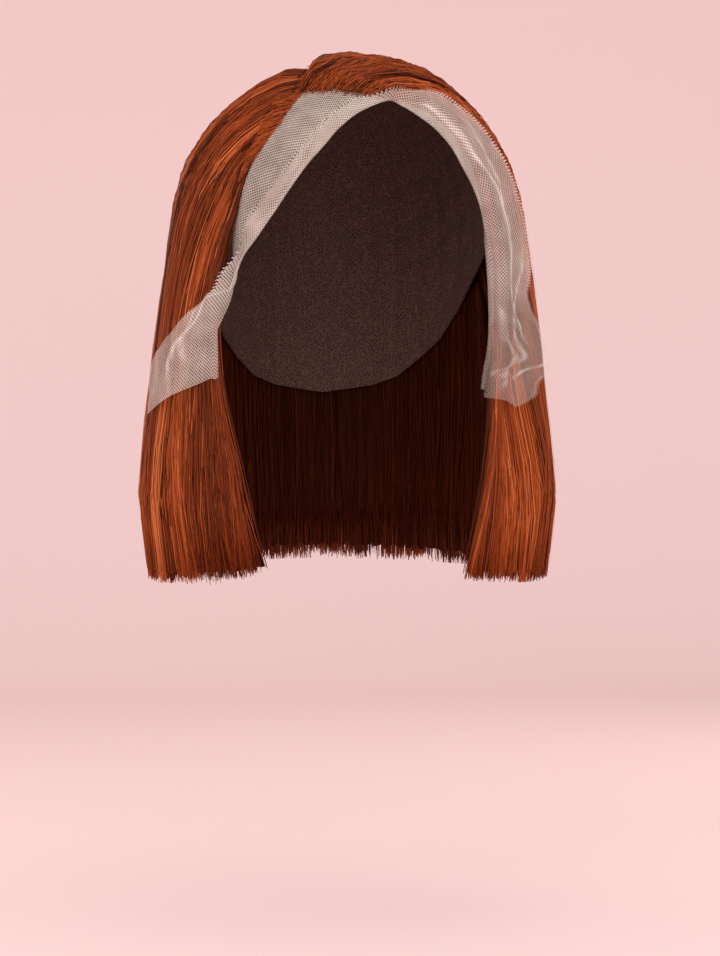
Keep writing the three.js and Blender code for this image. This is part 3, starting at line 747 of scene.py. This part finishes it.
def napeSkins(share, down, gaps):
    # The short under layer hangs between the head form and the inside of the outer hair.
    q = onDisc(down, nape["side"] + (360 - 2 * nape["side"]) * share)
    opened = alongRows(curtainInside, down / quarter)[..., 0]
    still = np.zeros(opened.shape)
    return q, between(q, still, still + gaps[0]), between(q, opened, still + gaps[1])


def growNape():
    rng = np.random.default_rng(nape["seed"])
    count, wisps, top = nape["strands"], nape["wisps"], nape["top"]
    wisp = rng.integers(0, wisps, count)
    along = stepRamp(count, rng)
    phase = rng.uniform(0, 2 * np.pi, wisps)[wisp][:, None]
    sway = (rng.normal(0, nape["sway"], wisps)[wisp][:, None] * along**2
            + nape["wave"] * np.sin(nape["waveTurn"] * along + phase))
    place = (wisp + rng.normal(0, nape["wispSpread"], count))[:, None] / wisps + sway
    roots = top + rng.uniform(0, nape["rootDepth"], count)[:, None]
    tips = rng.normal(0, nape["strandTip"], count) + rng.normal(0, nape["wispTip"], wisps)[wisp]
    down = roots + (nape["hem"] + tips[:, None] - roots) * along
    q, inner, outer = napeSkins(np.clip(place, 0, 1), down, nape["strandGaps"])
    path = inner + (outer - inner) * (rng.random(count) ** nape["crowding"])[:, None, None]
    taper = tapered(along) * rng.uniform(*hair["own"], count)[:, None]
    shade = np.clip(nape["tone"] + rng.normal(0, nape["toneSpread"], count), *hair["toneLimits"])
    strands = strandMesh("hairNapeStrands", path, -outward(q), hair["width"] * nape["broader"] * taper,
                         hair["height"] * taper, shade, nape["mapStart"] + (1 - nape["mapStart"]) * along)
    grid = np.ones((nape["baseColumns"], nape["baseRows"]))
    share = np.linspace(0, 1, nape["baseColumns"])[:, None] * grid
    down = top + (nape["hem"] - nape["baseShort"] - top) * np.linspace(0, 1, nape["baseRows"]) * grid
    _, inner, outer = napeSkins(share, down, nape["baseGaps"])
    return strands, wallMesh("hairNapeBase", outer, inner, np.stack([share, onMap(down - 1)], -1))


loose = dict(
    flyaways=48, flyWidth=0.12, flyTones=(0.5, 0.95),
    lift=7.0, crowding=1.5, arcs=(0.5, 1.0), drift=0.05, sink=3.0,
    babyHairs=600, babyWidth=0.34, babyTones=(0.3, 0.9),
    babyFrom=dict(hairLeft=0.37, hairRight=0.6), babyTo=0.99,  # shares of the root line
    babyStart=-0.045, babyLength=0.09, babyOwn=(0.5, 1.2), babyDrift=0.25,
    babyLow=1.1, babyRise=2.6, babyRun=0.08,
    flatness=0.8, seed=71,
)


def growLoose():
    # Flyaways that leave the surface in long shallow arcs, and short fine hairs along the hairline.
    rng = np.random.default_rng(loose["seed"])
    made = dict(path=[], normal=[], width=[], shade=[], along=[])
    ramp = np.linspace(0, 1, hair["steps"])[None, :]

    def add(spec, share, t, lift, width, shade):
        q = fallPath(spec["fall"], spec["roots"], np.clip(share, 0, 1), t)
        normal = outward(q)
        made["path"].append(hairSkins(q)[0] + normal * lift[..., None])
        made["normal"].append(normal)
        made["width"].append(width * tapered(ramp * np.ones(t.shape)))
        made["shade"].append(shade)
        made["along"].append(t)

    strandCount = sum(spec["strands"] for spec in growths.values())
    for spec in growths.values():
        count = loose["flyaways"] * spec["strands"] // strandCount
        field = strandField(spec, count, rng)
        reach = rng.random(count)[:, None] ** loose["crowding"] * loose["lift"]
        arc = np.sin(np.pi * ramp * rng.uniform(*loose["arcs"], count)[:, None]) * reach
        share = field["share"] + rng.normal(0, loose["drift"], count)[:, None] * field["t"]
        tones = rng.uniform(*loose["flyTones"], count)
        add(spec, share, field["t"], arc - loose["sink"], loose["flyWidth"], tones)
    for name, low in loose["babyFrom"].items():
        count = loose["babyHairs"] // 2
        share = rng.uniform(low, loose["babyTo"], count)[:, None]
        start = rng.uniform(loose["babyStart"], 0.0, count)[:, None]
        way = loose["babyLength"] * rng.uniform(*loose["babyOwn"], count)[:, None] * ramp
        share = share + rng.normal(0, loose["babyDrift"], count)[:, None] * way
        rise = loose["babyLow"] + loose["babyRise"] * smoothStep(way / loose["babyRun"])
        tones = rng.uniform(*loose["babyTones"], count)
        add(growths[name], share, start + way, rise - edgeRise, loose["babyWidth"], tones)
    joined = {key: np.concatenate(parts) for key, parts in made.items()}
    return strandMesh("looseHair", joined["path"], joined["normal"], joined["width"],
                      joined["width"] * loose["flatness"], joined["shade"], joined["along"])


# Hair colours from the deepest tone to the lightest one; darker ones for the under layer, painted shade
# for the inside of the hair; and those of the combed hair below, painted near-black as the shade between
# the locks
copper = dict(
    tones=[(0.0, (0.045, 0.006, 0.0018)), (0.3, (0.15, 0.023, 0.0055)), (0.55, (0.3, 0.052, 0.0105)),
           (0.8, (0.43, 0.088, 0.02)), (1.0, (0.6, 0.16, 0.05))],
    shadeTones=[(0.0, (0.014, 0.0016, 0.0006)), (0.4, (0.06, 0.0085, 0.0022)), (1.0, (0.2, 0.035, 0.008))],
    baseShadeTones=[(0.25, (0.008, 0.001, 0.0004)), (0.75, (0.05, 0.0065, 0.0015))],
    drift=0.22, lighterTip=0.14, grain=(160.0, 3.0, 1.0), detail=2.0,
    roughness=0.42, gloss=0.22, shadeGloss=0.06, tint=(1.0, 0.6, 0.38),
    baseGrain=(260.0, 4.0, 1.0), baseDetail=3.0, baseRoughness=0.7, baseGloss=0.05,
    baseBump=0.6, baseBumpDepth=0.0008,
)


def hairMaterial(name, tones, gloss):
    # Tone by strand plus a slow drift along it, a little lighter towards the tip.
    material, tree, shader = newMaterial(name)
    uv, tone, along = readMap(tree, "OFBake")
    noise = stretchedNoise(tree, uv, copper["grain"], copper["detail"])
    drift = mathNode(tree, "MULTIPLY", mathNode(tree, "SUBTRACT", noise, 0.5), copper["drift"])
    length = mathNode(tree, "MULTIPLY", mathNode(tree, "SUBTRACT", along, 0.5), copper["lighterTip"])
    total = mathNode(tree, "ADD", mathNode(tree, "ADD", tone, drift), length)
    link(tree, colorRamp(tree, total, tones), shader.inputs["Base Color"])
    setSurface(shader, copper["roughness"], gloss)
    shader.inputs["Specular Tint"].default_value = (*copper["tint"], 1.0)
    return material


def baseMaterial():
    # Combed hair under the strands, painted near-black as the shade between the locks: fine streaks along
    # the fall in colour and bump.
    material, tree, shader = newMaterial("paintedShadeHair")
    noise = stretchedNoise(tree, readMap(tree, "OFBake")[0], copper["baseGrain"], copper["baseDetail"])
    link(tree, colorRamp(tree, noise, copper["baseShadeTones"]), shader.inputs["Base Color"])
    addBump(tree, noise, shader, copper["baseBump"], copper["baseBumpDepth"])
    setSurface(shader, copper["baseRoughness"], copper["baseGloss"])
    return material


copperHair = hairMaterial("copperHair", copper["tones"], copper["gloss"])
shadedHair = hairMaterial("shadedHair", copper["shadeTones"], copper["shadeGloss"])
paintedShadeHair = baseMaterial()


def dress(piece, material, replaced=None):
    piece.data.materials.append(material)
    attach(piece, "root")
    if replaced:
        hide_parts(replaced)


for growthName, growth in growths.items():
    for strands in growStrands(growthName, growth):
        dress(strands, copperHair, growth["node"])
    dress(growBase(growthName, growth), paintedShadeHair, growth["node"])
    print(growthName, "grown")

napeStrands, napeBase = growNape()
# The under layer takes the shade tones: painted shade for the dark inside of the hair.
dress(napeStrands, shadedHair, "hair_nape")
dress(napeBase, paintedShadeHair, "hair_nape")
dress(growLoose(), copperHair)
print("hair finished")


# Lace front

# Root, fold at the face and cut edge: place down the disc, angle, and stand-off of root and fold
laceSections = np.array([
    (1.42, -52.6, 0.72, 1.43, -52.2, 0.74, 1.525, -80),
    (1.37, -53.2, 0.72, 1.38, -52.8, 0.74, 1.46, -81.5),
    (1.33, -54.2, 0.7, 1.34, -53.8, 0.73, 1.41, -82.5),
    (1.29, -55.2, 0.66, 1.3, -54.8, 0.7, 1.36, -80),
    (1.265, -55.8, 0.54, 1.275, -55.4, 0.62, 1.335, -75.5),
    (1.235, -56.2, 0.4, 1.24, -55.6, 0.51, 1.295, -69),
    (1.195, -56.4, 0.28, 1.205, -55.4, 0.41, 1.25, -65),
    (1.145, -58.4, 0.16, 1.16, -54.6, 0.3, 1.205, -58.6),
    (1.065, -61, 0.06, 1.105, -52.3, 0.18, 1.13, -57.5),
    (0.95, -61.5, 0, 1.05, -46.4, 0.05, 1.02, -53.5),
    (0.8, -59, 0, 0.985, -39.8, 0, 0.945, -45.5), (0.65, -54, 0, 0.905, -33.4, 0, 0.865, -39),
    (0.48, -50, 0, 0.815, -26.9, 0, 0.77, -32), (0.415, -43, 0, 0.735, -20.4, 0, 0.68, -25.5),
    (0.37, -36, 0, 0.66, -14.4, 0, 0.6, -18.8), (0.37, -11, 0, 0.58, -4.6, 0, 0.52, -7.2),
    (0.39, 10, 0, 0.515, 10.9, 0, 0.497, 11.3), (0.41, 19, 0, 0.54, 18.1, 0, 0.5, 23.4),
    (0.46, 31, 0, 0.585, 25.4, 0, 0.493, 36.6), (0.52, 43, 0, 0.645, 33.4, 0, 0.546, 46.8),
    (0.58, 51, 0, 0.72, 39.9, 0, 0.606, 54.7), (0.675, 55.7, 0, 0.805, 44.3, 0, 0.69, 60),
    (0.79, 59.5, 0, 0.895, 51, 0, 0.78, 65), (0.885, 61.3, 0, 0.96, 54.5, 0.03, 0.87, 67.5),
    (0.96, 60.2, 0.01, 1.02, 55.2, 0.09, 0.96, 69.9),
    (1.035, 57, 0.04, 1.075, 55, 0.19, 1.05, 69.8),
    (1.12, 55.6, 0.14, 1.135, 54.2, 0.28, 1.115, 69),
    (1.175, 54.7, 0.2, 1.185, 53.2, 0.32, 1.18, 66.6),
    (1.22, 53.6, 0.24, 1.23, 52.3, 0.34, 1.223, 66.6),
    (1.265, 52, 0.28, 1.275, 50.9, 0.36, 1.27, 67.9),
    (1.31, 50, 0.32, 1.32, 48.8, 0.37, 1.32, 70.4),
    (1.355, 48, 0.33, 1.365, 47.2, 0.36, 1.365, 78),
    (1.39, 46.2, 0.33, 1.4, 45.2, 0.36, 1.42, 65), (1.42, 45, 0.33, 1.43, 44, 0.36, 1.475, 61),
    (1.45, 44, 0.33, 1.46, 43.2, 0.35, 1.51, 55),
])
lace = dict(
    stations=560, underSteps=9, overSteps=24,
    foldGap=0.03,  # share of each layer that the fold itself takes
    foldForward=0.9,  # how far the fold stands out, in walls
    tooth=3.6,  # mm between the points and the notches of the pinked edge
    mesh=1.45,  # mm between threads
    thread=0.36,  # share of the pitch that a thread covers
    slant=(0.62, 0.8),  # how the threads run: along the lace, and across it
    netAlpha=0.55, cloudAlpha=0.2, creaseAlpha=0.45,
    creaseHeight=0.5, creaseBend=0.03, creaseTurn=9.0, creaseEnds=5.0,
    ripple=0.3, rippleTurns=(150, 7, 61),
    flatSpare=1.05,  # the longest edge over the mean of the rows
    cloudScale=70.0, cloudDetail=2.0, roughness=0.8, gloss=0.2,
    tones=[(0.3, (0.56, 0.45, 0.39)), (0.7, (0.68, 0.57, 0.5))], creaseColor=(0.82, 0.74, 0.68),
)

# Along the lace from the wearer's right ear to the left one: place, how dense the net looks, and
# how plain the points of the cut edge are
netLook = np.array([
    (0.0, 0.9, 0.5), (0.2, 1.0, 0.4), (0.28, 1.0, 0.05), (0.5, 1.0, 0.05),
    (0.56, 1.0, 0.8), (0.76, 0.95, 0.8), (0.86, 0.55, 0.5), (1.0, 0.45, 0.5),
])

# Creases of the turned-back layer: where they run from and to along the lace and across it (0 is
# the fold, 1 the cut edge), how wide they are in that share, and how sharp
creases = np.array([
    (0.0, 0.24, 0.55, 0.35, 0.03, 0.7), (0.03, 0.2, 0.25, 0.7, 0.025, 0.5),
    (0.5, 0.72, 0.3, 0.55, 0.025, 0.8), (0.56, 0.8, 0.75, 0.42, 0.02, 0.6),
    (0.64, 0.9, 0.45, 0.62, 0.02, 0.8), (0.72, 0.97, 0.85, 0.3, 0.02, 0.7),
    (0.8, 0.99, 0.2, 0.5, 0.02, 0.6), (0.88, 0.96, 0.95, 0.55, 0.02, 0.8),
])


def laceCreases(along, across):
    # Rounded ridges on slanting lines, each fading out at its ends.
    total = np.zeros(np.broadcast(along, across).shape)
    for start, end, fromSide, toSide, width, sharp in creases:
        t = (along - start) / (end - start)
        bend = lace["creaseBend"] * np.sin(lace["creaseTurn"] * t)
        line = fromSide + (toSide - fromSide) * t + bend
        ends = smoothStep(t * lace["creaseEnds"]) * smoothStep((1 - t) * lace["creaseEnds"])
        total = np.maximum(total, sharp * ends * np.exp(-((across - line) / width) ** 2))
    return total


def laceSheet():
    # Across each section: the under layer, the fold and the layer turned back over the hair.
    stations, underSteps = lace["stations"], lace["underSteps"]
    place = np.linspace(0, len(laceSections) - 1, stations)
    values = alongRows(laceSections, place)
    root, fold, cut = values[:, 0:2], values[:, 3:5], values[:, 6:8]
    rootLift, foldLift = values[:, 2, None], values[:, 5, None]

    def sweep(start, end, t):
        # Place and angle run evenly, so that a level edge stays level.
        polar = start[:, None] + (end - start)[:, None] * t[..., None]
        return onDisc(polar[..., 0], polar[..., 1])

    underT = np.linspace(0, 1 - lace["foldGap"], underSteps)[None, :]
    lift = rootLift + (foldLift - rootLift) * underT**2
    under = between(sweep(root, fold, underT), lift, (wig["slipGap"] + wig["laceWall"]) / 2 + 0 * lift)
    overT = np.linspace(lace["foldGap"], 1, lace["overSteps"])[None, :]
    q = sweep(fold, cut, overT)
    depth, distance, grown = hairDepth(q)
    climb = np.where(grown, 1.0, smoothStep(1 - distance / wig["laceClimb"]))
    overHair = edgeRise * (1 - depth) + wig["lockDepth"] / 2 + wig["laceOverHair"] + wig["laceWall"] / 2
    flat = wig["slipGap"] + 1.5 * wig["laceWall"] + wig["laceFoldGap"]
    share = np.linspace(0, 1, stations)[:, None]
    crease = laceCreases(share, overT)
    along, across, slow = lace["rippleTurns"]
    ripple = lace["ripple"] * np.sin(along * share + across * overT) * np.sin(slow * share)
    ripple = ripple * smoothStep(overT * 2)
    proud = flat + (overHair - flat) * climb + lace["creaseHeight"] * crease + ripple
    over = between(q, np.maximum(foldLift * (1 - overT), depth * climb), proud)
    forward = unit(under[:, -1] - under[:, -2])
    middle = (under[:, -1] + over[:, 0]) / 2 + forward * wig["laceWall"] * lace["foldForward"]
    points = np.concatenate([under, middle[:, None], over], 1)
    # The cut edge is pinked: every other station steps out and the next one in.
    beat = np.arange(stations) % 2 - 0.5
    points[:, -1] += unit(points[:, -1] - points[:, -2]) * (lace["tooth"] * beat)[:, None]

    v = runningLength(points)
    fromFold = v - v[:, underSteps:underSteps + 1]
    alongRun = np.linalg.norm(np.diff(points, axis=0), axis=-1).mean(1)
    u = np.concatenate([[0], np.cumsum(alongRun)])[:, None] * np.ones((1, points.shape[1]))
    creased = np.concatenate([np.zeros((stations, underSteps + 1)), crease], 1)
    creased[:, -1] = np.interp(share[:, 0], netLook[:, 0], netLook[:, 2])
    density = np.interp(share, netLook[:, 0], netLook[:, 1]) * np.ones(points.shape[:2])
    maps = {"weave": np.stack([u, fromFold], -1).reshape(-1, 2) * mm,
            "crease": np.stack([creased, density], -1).reshape(-1, 2)}
    index = np.arange(points.shape[0] * points.shape[1]).reshape(points.shape[:2])
    piece = addPiece("laceFront", points.reshape(-1, 3), [gridFaces(index)], maps)
    diagonals = np.cross(points[1:, 1:] - points[:-1, :-1], points[1:, :-1] - points[:-1, 1:])
    area = float(np.linalg.norm(diagonals, axis=-1).sum() / 2)
    return piece, (float(u[-1, 0]) * lace["flatSpare"], float(v[:, -1].max())), area


def laceMaterial():
    # A net of two slanting sets of threads, open between them, as dense as its map says, and
    # closer and lighter along the creases and on the points of the cut edge.
    material, tree, shader = newMaterial("sheerLace")
    _, along, across = readMap(tree, "weave")
    _, crease, density = readMap(tree, "crease")
    pitch = 1 / (lace["mesh"] * mm)
    run, rise = lace["slant"]
    threads = []
    for sign in (1.0, -1.0):
        slant = mathNode(tree, "ADD", mathNode(tree, "MULTIPLY", along, pitch * run),
                         mathNode(tree, "MULTIPLY", across, pitch * sign * rise))
        wave = mathNode(tree, "ABSOLUTE", mathNode(tree, "SUBTRACT", mathNode(tree, "FRACT", slant), 0.5))
        threads.append(mathNode(tree, "LESS_THAN", wave, lace["thread"] / 2))
    net = mathNode(tree, "MAXIMUM", *threads)
    coords = node(tree, "ShaderNodeTexCoord")
    cloud = stretchedNoise(tree, coords.outputs["Object"], [lace["cloudScale"]] * 3, lace["cloudDetail"])
    alpha = mathNode(tree, "ADD", mathNode(tree, "MULTIPLY", net, lace["netAlpha"]),
                     mathNode(tree, "MULTIPLY", cloud, lace["cloudAlpha"]))
    closer = mathNode(tree, "MULTIPLY", crease, lace["creaseAlpha"])
    alpha = mathNode(tree, "ADD", mathNode(tree, "MULTIPLY", alpha, density), closer)
    alpha.node.use_clamp = True
    link(tree, alpha, shader.inputs["Alpha"])
    plain = colorRamp(tree, cloud, lace["tones"])
    link(tree, mixColor(tree, crease, plain, lace["creaseColor"]), shader.inputs["Base Color"])
    setSurface(shader, lace["roughness"], lace["gloss"])
    return material


laceFront, laceFlat, laceArea = laceSheet()
dress(laceFront, laceMaterial(), "lace_front")
print("lace laid, mm:", laceFlat, "area:", laceArea)


# Cap

capNet = dict(
    cellScale=620.0, cellEdge=0.13, holeColor=(0.018, 0.006, 0.004), threadColor=(0.085, 0.035, 0.022),
    bump=0.5, bumpDepth=0.0004, roughness=0.85, gloss=0.5,
)


def netMaterial():
    # Dark knitted net: small rounded cells in colour and bump.
    material, tree, shader = newMaterial("capNet")
    coords = node(tree, "ShaderNodeTexCoord")
    cells = node(tree, "ShaderNodeTexVoronoi", feature="DISTANCE_TO_EDGE")
    cells.inputs["Scale"].default_value = capNet["cellScale"]
    link(tree, coords.outputs["Object"], cells.inputs["Vector"])
    edge = mathNode(tree, "LESS_THAN", cells.outputs["Distance"], capNet["cellEdge"])
    color = mixColor(tree, edge, capNet["holeColor"], capNet["threadColor"])
    link(tree, color, shader.inputs["Base Color"])
    addBump(tree, edge, shader, capNet["bump"], capNet["bumpDepth"])
    setSurface(shader, capNet["roughness"], capNet["gloss"])
    return material


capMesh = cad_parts["wig_cap"].data
capMesh.materials.clear()
capMesh.materials.append(netMaterial())
print("cap finished")
